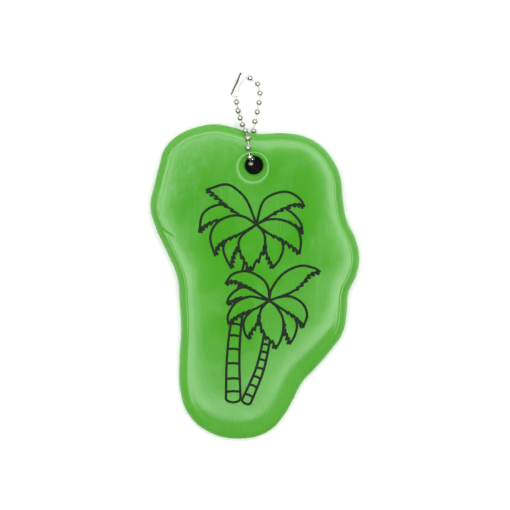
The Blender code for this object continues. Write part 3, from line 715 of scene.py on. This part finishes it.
print_points, print_triangles = printed(
    palm(REAR_CROWN, REAR_TRUNK, REAR_FRONDS)
    + [(middle_frond(REAR_CROWN, *REAR_MIDDLE), [])]
    + palm(FRONT_CROWN, FRONT_TRUNK, FRONT_FRONDS)
)
face_tree = BVHTree.FromPolygons(
    [v.co for v in float_mesh.vertices], [p.vertices for p in float_mesh.polygons]
)
face_up = to_float.to_3x3() @ Vector((0, 0, 1))
bm = bmesh.new()
for point in print_points:
    above = to_float @ Vector((point.x, point.y, RAY_HEIGHT))
    bm.verts.new(face_tree.ray_cast(above, -face_up)[0] + face_up * (INK_FILM / 2))
bm.verts.ensure_lookup_table()
for triangle in print_triangles:
    bm.faces.new([bm.verts[index] for index in triangle])
bmesh.ops.delete(bm, geom=[v for v in bm.verts if not v.link_faces], context="VERTS")
bmesh.ops.recalc_face_normals(bm, faces=bm.faces)
if sum(face.normal.dot(face_up) for face in bm.faces) < 0:
    bmesh.ops.reverse_faces(bm, faces=bm.faces)

INK_DARK = (0.007, 0.014, 0.007, 1.0)
INK_GREEN = (0.014, 0.032, 0.012, 1.0)
INK_SCALE = 900.0
INK_STEP = (0.3, 0.75)
INK_ROUGHNESS = 0.4
INK_UNEVENNESS = 0.2
INK_SHINE = 0.08

ink, ink_shader, ink_shade = new_material("screen_ink")
ink_grain = ink_shade.place().grain(INK_SCALE)
ink_grain.ramp(*INK_STEP).blend(INK_DARK, INK_GREEN).into(ink_shader.inputs["Base Color"])
(ink_grain * INK_UNEVENNESS + INK_ROUGHNESS).into(ink_shader.inputs["Roughness"])
ink_shader.inputs["Specular IOR Level"].default_value = INK_SHINE
palm_print = make_piece("palm_ink", mesh_of(bm, "palm_ink"), ink)
film = palm_print.modifiers.new("film", "SOLIDIFY")
film.thickness = INK_FILM
film.offset = 0.0
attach(palm_print, "float")
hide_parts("palm_print")


# Ball chain
# Hollow beads of thin nickel-plated steel, rolled up round the heads of short wire links. Each
# bead has a fine seam and a hole at both ends, with its lip turned in.

BEAD_COUNT = 22
BEAD_RADIUS = 1.2 * MM
BEAD_WALL = 0.15 * MM
BEAD_HOLE_RADIUS = 0.55 * MM
LIP_TURN = 0.015 * MM
# How far round the bead its lip is bent, in radians, and how far down the lip lies outside and in
LIP_BEND = 0.1
LIP_TOP = 0.03 * MM
LIP_END = 0.06 * MM
WIRE_RADIUS = 0.175 * MM
HEAD_RADIUS = 0.58 * MM
HEAD_THICKNESS = 0.2 * MM
# The head's flat and bulge and the neck's width and place, in shares of the values above
HEAD_FLAT = 0.7
HEAD_BULGE = 0.42
NECK_WIDTH = 1.1
NECK_PLACE = 0.6
# The steps along a bead's outside and its inside, and round a bead and a link
OUTSIDE_STEPS = 20
INSIDE_STEPS = 10
BEAD_STEPS = 32
LINK_STEPS = 16
SHARP_TURN = math.radians(50)


def loose_points(node):
    """The different points of a CAD node."""
    mesh = frame["nodes"][node].data
    points = np.zeros(len(mesh.vertices) * 3)
    mesh.vertices.foreach_get("co", points)
    return np.unique(points.reshape(-1, 3).round(7), axis=0)


def middle_of(node):
    return Vector(loose_points(node).mean(axis=0))


def heads_of(node, toward):
    """The middles of a link's two heads, the one nearer to a point first."""
    points = loose_points(node)
    middle = points.mean(axis=0)
    axis = np.linalg.svd(points - middle)[2][0]
    half = np.abs((points - middle) @ axis).max() - HEAD_THICKNESS / 2
    ends = [Vector(middle - axis * half), Vector(middle + axis * half)]
    return sorted(ends, key=lambda end: (end - toward).length)


bead_middles = [middle_of("bead_%02d" % number) for number in range(1, BEAD_COUNT + 1)]
link_heads = [
    heads_of("link_%02d" % number, bead_middles[number - 1]) for number in range(1, BEAD_COUNT)
]


def pointing(centre, direction):
    return Matrix.Translation(centre) @ direction.to_track_quat("Z", "X").to_matrix().to_4x4()


def arc(radius, start, sweep, steps):
    """Points of (radius, height) along part of a circle, by the angle from its top."""
    turns = [start + sweep * step / steps for step in range(steps + 1)]
    return [(radius * math.sin(turn), radius * math.cos(turn)) for turn in turns]


def bead_profile():
    """The bead's wall, from inside one hole round its outside to the other, and back inside."""
    polar = math.asin(BEAD_HOLE_RADIUS / BEAD_RADIUS)
    inner = BEAD_RADIUS - BEAD_WALL
    first = polar + LIP_BEND
    sweep = math.pi - 2 * first
    outer_wall = arc(BEAD_RADIUS, first, sweep, OUTSIDE_STEPS)
    inner_wall = arc(inner, math.pi - first, -sweep, INSIDE_STEPS)
    lip_height = BEAD_RADIUS * math.cos(polar) - LIP_TOP
    lip_end = inner * math.cos(polar) - LIP_END
    narrow = BEAD_HOLE_RADIUS + LIP_TURN
    wide = narrow + LIP_TURN
    upper = [(wide, lip_end), (narrow, (lip_height + lip_end) / 2), (wide, lip_height)]
    lower = [(radius, -height) for radius, height in reversed(upper)]
    return upper + outer_wall + lower + inner_wall + upper[:1]


def link_profile(length):
    """A wire with a flattened head at each end."""
    end = length / 2
    flat = HEAD_RADIUS * HEAD_FLAT
    bulge = HEAD_THICKNESS * HEAD_BULGE
    half = [
        (0.0, end + HEAD_THICKNESS / 2),
        (flat, end + bulge),
        (HEAD_RADIUS, end),
        (flat, end - bulge),
        (WIRE_RADIUS * NECK_WIDTH, end - HEAD_THICKNESS * NECK_PLACE),
        (WIRE_RADIUS, end - HEAD_THICKNESS),
    ]
    return half + [(radius, -height) for radius, height in reversed(half)]


NICKEL = (0.70, 0.68, 0.62, 1.0)
WORN_NICKEL = (0.52, 0.50, 0.43, 1.0)
PLATE_TINT = (0.22, 0.22, 0.19, 1.0)
PLATE_SCALE = 900.0
WEAR_STEP = (0.35, 0.75)
PLATE_ROUGHNESS = 0.08
WEAR_ROUGHNESS = 0.2


def plated(name, worn):
    """Bright nickel plate: its material, its shader, the places on it, and its colour."""
    made, shader, shade = new_material(name)
    shader.inputs["Metallic"].default_value = 1.0
    shader.inputs["Specular Tint"].default_value = PLATE_TINT
    places = shade.place()
    wear = places.grain(PLATE_SCALE, detail=3.0)
    (wear * WEAR_ROUGHNESS + PLATE_ROUGHNESS).into(shader.inputs["Roughness"])
    return made, shader, places, wear.ramp(*WEAR_STEP).blend(NICKEL, worn)


nickel, nickel_shader, _, nickel_colour = plated("nickel_plate", WORN_NICKEL)
nickel_colour.into(nickel_shader.inputs["Base Color"])

bodies = frame["record"]["behaviour"]["bodies"]
body_of_node = {node: body for body, nodes in bodies.items() for node in nodes}


def place_turned(name, profile, steps, matrix, node):
    mesh = spun(profile, steps, name)
    mesh.transform(matrix)
    mesh.shade_smooth()
    mesh.set_sharp_from_angle(angle=SHARP_TURN)
    made = make_piece(name, mesh, nickel)
    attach(made, body_of_node[node])
    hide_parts(node)


for number in range(1, BEAD_COUNT + 1):
    if number in (1, BEAD_COUNT):
        before, after = link_heads[0 if number == 1 else -1]
    else:
        before, after = link_heads[number - 2][1], link_heads[number - 1][0]
    node = "bead_%02d" % number
    matrix = pointing(bead_middles[number - 1], after - before)
    place_turned("chain_" + node, bead_profile(), BEAD_STEPS, matrix, node)

for number, (start, end) in enumerate(link_heads, 1):
    node = "link_%02d" % number
    matrix = pointing((start + end) / 2, end - start)
    place_turned("chain_" + node, link_profile((end - start).length), LINK_STEPS, matrix, node)


# Clasp
# A strip of nickel-plated steel folded to a trough, cupped at both ends over the chain's two end
# beads and pinched between them, with a slot in each end for the link.

EDGE_SOFTNESS = 0.1 * MM
# Faces that meet at less than the first turn are one face, and past the second they are an edge
FLAT_TURN = math.radians(1)
EDGE_TURN = math.radians(40)
SHADED_TURN = math.radians(45)
# The bands of painted shade: the spine's line, middle and half width, and the slot's middle and half
# sizes
SPINE = (Vector((-6.05, 76.9)) * MM, Vector((-10.0, 68.1)) * MM)
SPINE_MIDDLE = 0.25 * MM
SPINE_HALF_WIDTH = 0.55 * MM
SLOT_MARK = Vector((-7.75, 69.1)) * MM
SLOT_HALF_WIDTH = 0.16 * MM
SLOT_HALF_LENGTH = 0.55 * MM
BAND_EDGE = 0.1 * MM
# The colour of the shade painted on the fold and in the slot, and the worn plate's colour
FOLD_AND_SLOT_PAINTED_SHADE = (0.13, 0.125, 0.11, 1.0)
WORN_STRIP = (0.58, 0.56, 0.50, 1.0)

bm = bmesh.new()
bm.from_mesh(frame["nodes"]["clasp"].data)
bmesh.ops.remove_doubles(bm, verts=bm.verts, dist=1e-6)
bmesh.ops.dissolve_limit(bm, angle_limit=FLAT_TURN, verts=bm.verts, edges=bm.edges)
folds = [edge for edge in bm.edges if len(edge.link_faces) == 2]
sharp = [edge for edge in folds if edge.calc_face_angle() > EDGE_TURN]
bmesh.ops.bevel(
    bm, geom=sharp, offset=EDGE_SOFTNESS, segments=2, profile=0.5, affect="EDGES", material=-1,
    clamp_overlap=True,
)
clasp_mesh = mesh_of(bm, "clasp_strip")
clasp_mesh.shade_smooth()
clasp_mesh.set_sharp_from_angle(angle=SHADED_TURN)

# Shade is painted on the plate along the fold of its spine and in the slot of its lower end
strip_plate, strip_shader, strip_place, strip_colour = plated("clasp_plate", WORN_STRIP)
spine_way = (SPINE[1] - SPINE[0]).normalized().to_3d()
spine_side = Vector((-spine_way.y, spine_way.x, 0.0))
spine_start = SPINE[0].to_3d()
from_spine = strip_place.vector("SUBTRACT", spine_start, out="Vector")
across = from_spine.vector("DOT_PRODUCT", spine_side)
along = from_spine.vector("DOT_PRODUCT", spine_way)
slot_across = (SLOT_MARK.to_3d() - spine_start).dot(spine_side)
slot_along = (SLOT_MARK.to_3d() - spine_start).dot(spine_way)


def band(value, middle, half_width):
    """1 within half a width of a value's middle, and 0 past a soft edge."""
    rising = value.ramp(middle - half_width - BAND_EDGE, middle - half_width)
    return rising * value.ramp(middle + half_width + BAND_EDGE, middle + half_width)


spine_band = band(across, SPINE_MIDDLE, SPINE_HALF_WIDTH)
slot_width = band(across, slot_across, SLOT_HALF_WIDTH)
slot_band = slot_width * band(along, slot_along, SLOT_HALF_LENGTH)
painted_shade_parts = 1 - (1 - spine_band) * (1 - slot_band)
painted_shade_parts.blend(strip_colour, FOLD_AND_SLOT_PAINTED_SHADE).into(strip_shader.inputs["Base Color"])
clasp = make_piece("clasp_strip", clasp_mesh, strip_plate)
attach(clasp, "key_loop")
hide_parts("clasp")
